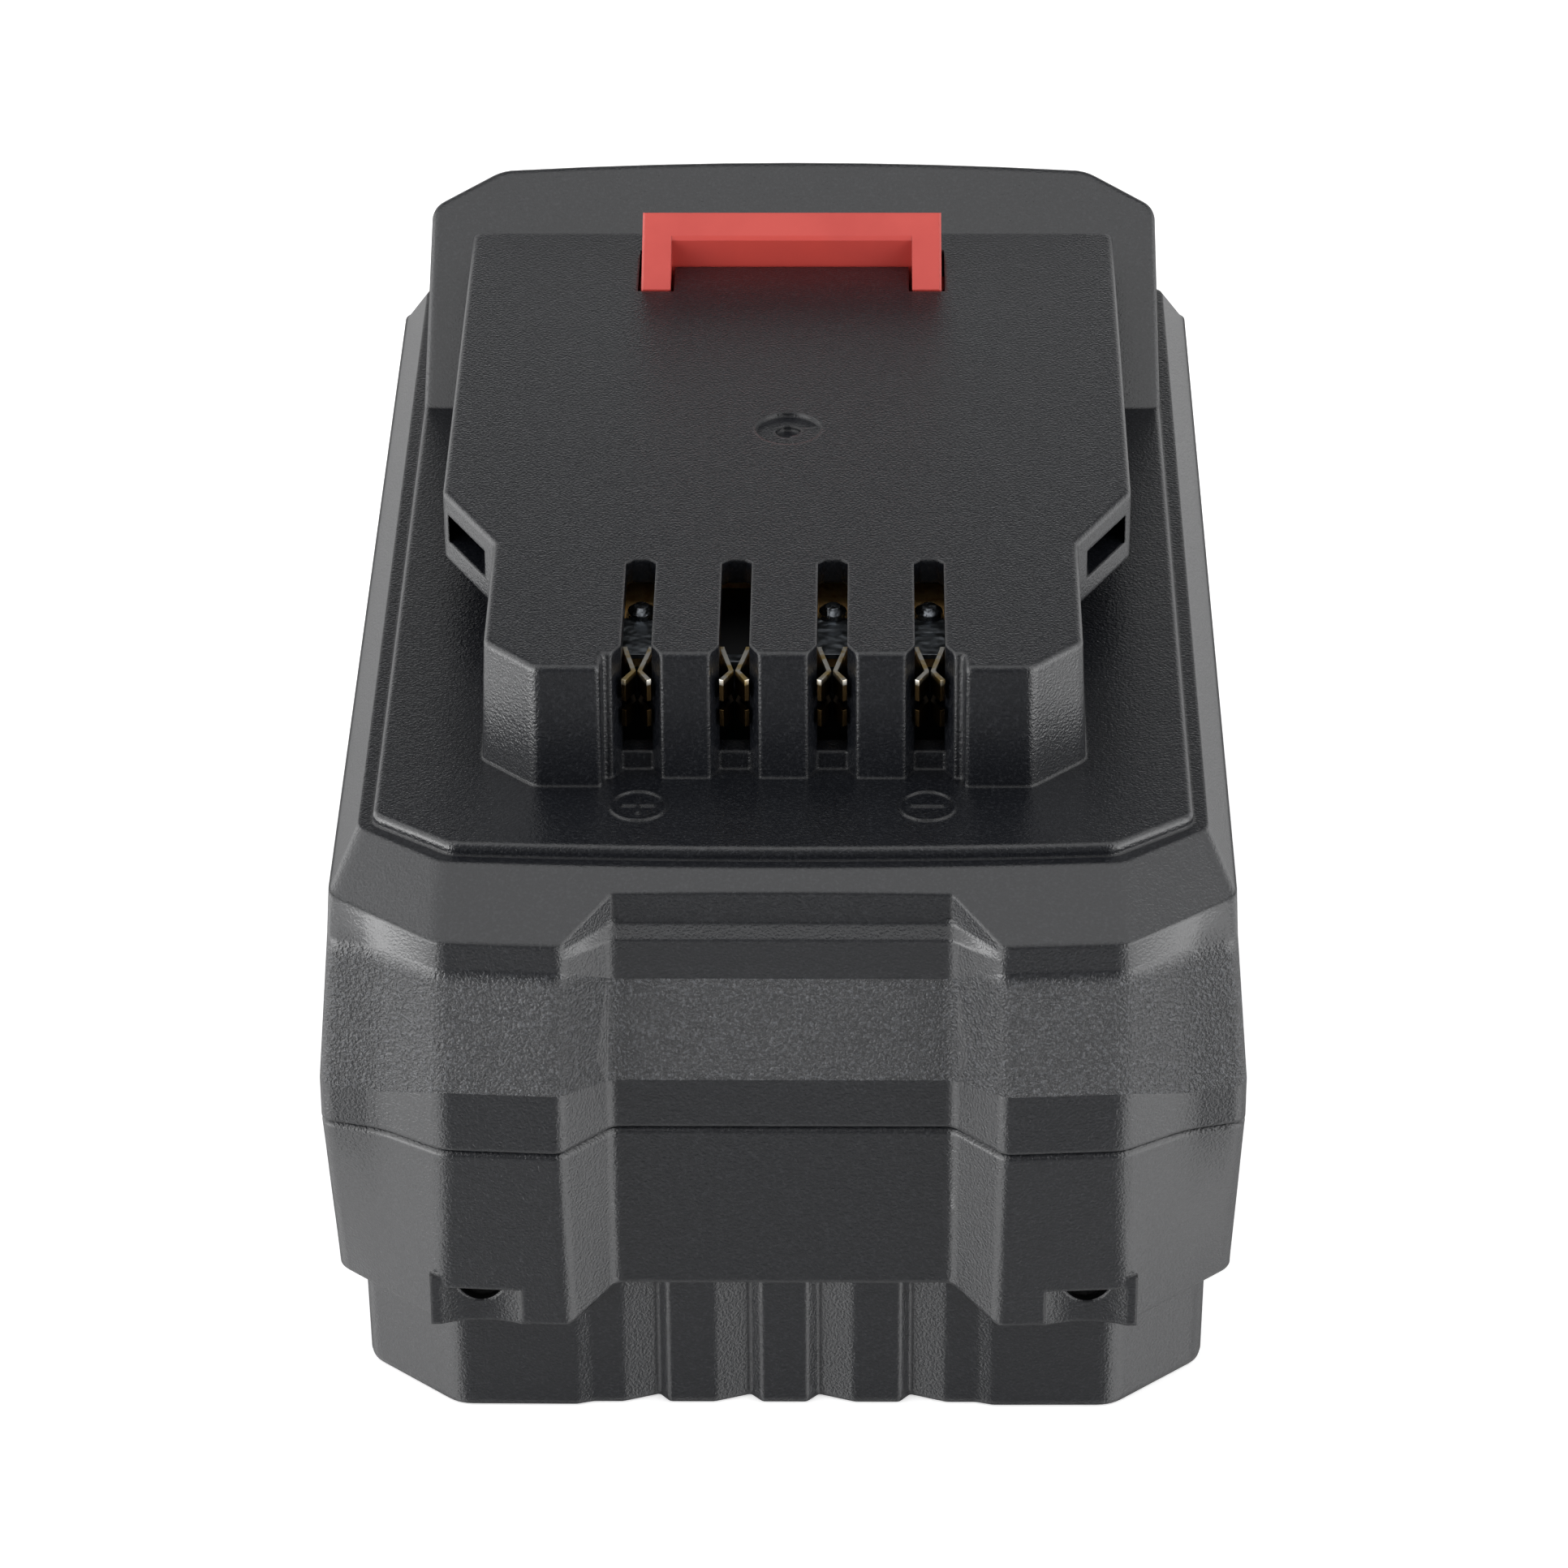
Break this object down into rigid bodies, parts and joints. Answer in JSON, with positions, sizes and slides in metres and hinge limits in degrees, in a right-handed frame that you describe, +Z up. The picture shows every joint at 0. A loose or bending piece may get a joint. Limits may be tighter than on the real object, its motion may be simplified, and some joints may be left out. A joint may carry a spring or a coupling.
{
  "type": "slide-on battery pack",
  "caption": "Slide-on battery pack for cordless tools: rail plate with slotted terminals, red release latch and a two-part black housing.",
  "frame": {"origin": "middle of the footprint, on the surface the pack stands on", "axes": "+X across the pack, +Y from the terminal end to the release-button end, +Z up from the feet to the latch"},
  "size_m": [0.076, 0.118, 0.0676],
  "materials": {
    "lower_shell": "fine spark-eroded grain, black glass-filled nylon",
    "upper_shell": "fine spark-eroded grain, black glass-filled nylon",
    "latch": "satin red acetal moulding",
    "spring_wire": "drawn spring steel",
    "inner_moulding": "plain black nylon",
    "holder": "black flame-retardant moulding",
    "cell_sleeve": "heat-shrunk sleeve over a steel can",
    "nickel": "rolled nickel strip",
    "insulating_board": "vulcanised fibre sheet",
    "foam": "closed-cell foam",
    "board_laminate": "green solder mask on glass laminate",
    "terminal_laminate": "amber phenolic paper laminate",
    "zinc_screw": "bright zinc plate",
    "black_screw": "black oxide",
    "contact_alloy": "tin-gold tinted copper alloy",
    "solder": "bright solder",
    "chip_resin": "moulded epoxy",
    "capacitor_can": "drawn can"
  },
  "bodies": {
    "pack": {"board_screws": "zinc_screw", "capacitor": "capacitor_can", "cell_1": "cell_sleeve", "cell_10": "cell_sleeve", "cell_2": "cell_sleeve", "cell_3": "cell_sleeve", "cell_4": "cell_sleeve", "cell_5": "cell_sleeve", "cell_6": "cell_sleeve", "cell_7": "cell_sleeve", "cell_8": "cell_sleeve", "cell_9": "cell_sleeve", "cell_holder_left": "holder", "cell_holder_right": "holder", "contact_1": "contact_alloy", "contact_2": "contact_alloy", "contact_3": "contact_alloy", "contact_4": "contact_alloy", "controller_chip": "chip_resin", "end_foam": "foam", "housing_screws": "black_screw", "insulating_sheet_left": "insulating_board", "insulating_sheet_right": "insulating_board", "latch_spring_left": "spring_wire", "latch_spring_right": "spring_wire", "link_strip_1": "nickel", "link_strip_2": "nickel", "link_strip_3": "nickel", "link_strip_4": "nickel", "lower_housing": "lower_shell", "main_board": "board_laminate", "negative_strip": "nickel", "positive_strip": "nickel", "power_transistors": "chip_resin", "shunt_resistor": "chip_resin", "solder_joints": "solder", "spring_seat": "inner_moulding", "terminal_block": "inner_moulding", "terminal_board": "terminal_laminate", "thermistor": "chip_resin", "top_foam": "foam", "upper_housing": "upper_shell"},
    "latch": {"latch": "latch"}
  },
  "joints": [
    {"name": "latch_press", "type": "slide", "parent": "pack", "child": "latch", "axis": [0, 0, -1], "range_m": [0, 0.0045], "stiffness_N_per_m": 900, "springref_m": -0.004, "deforming": ["latch_spring_left", "latch_spring_right"]}
  ]
}
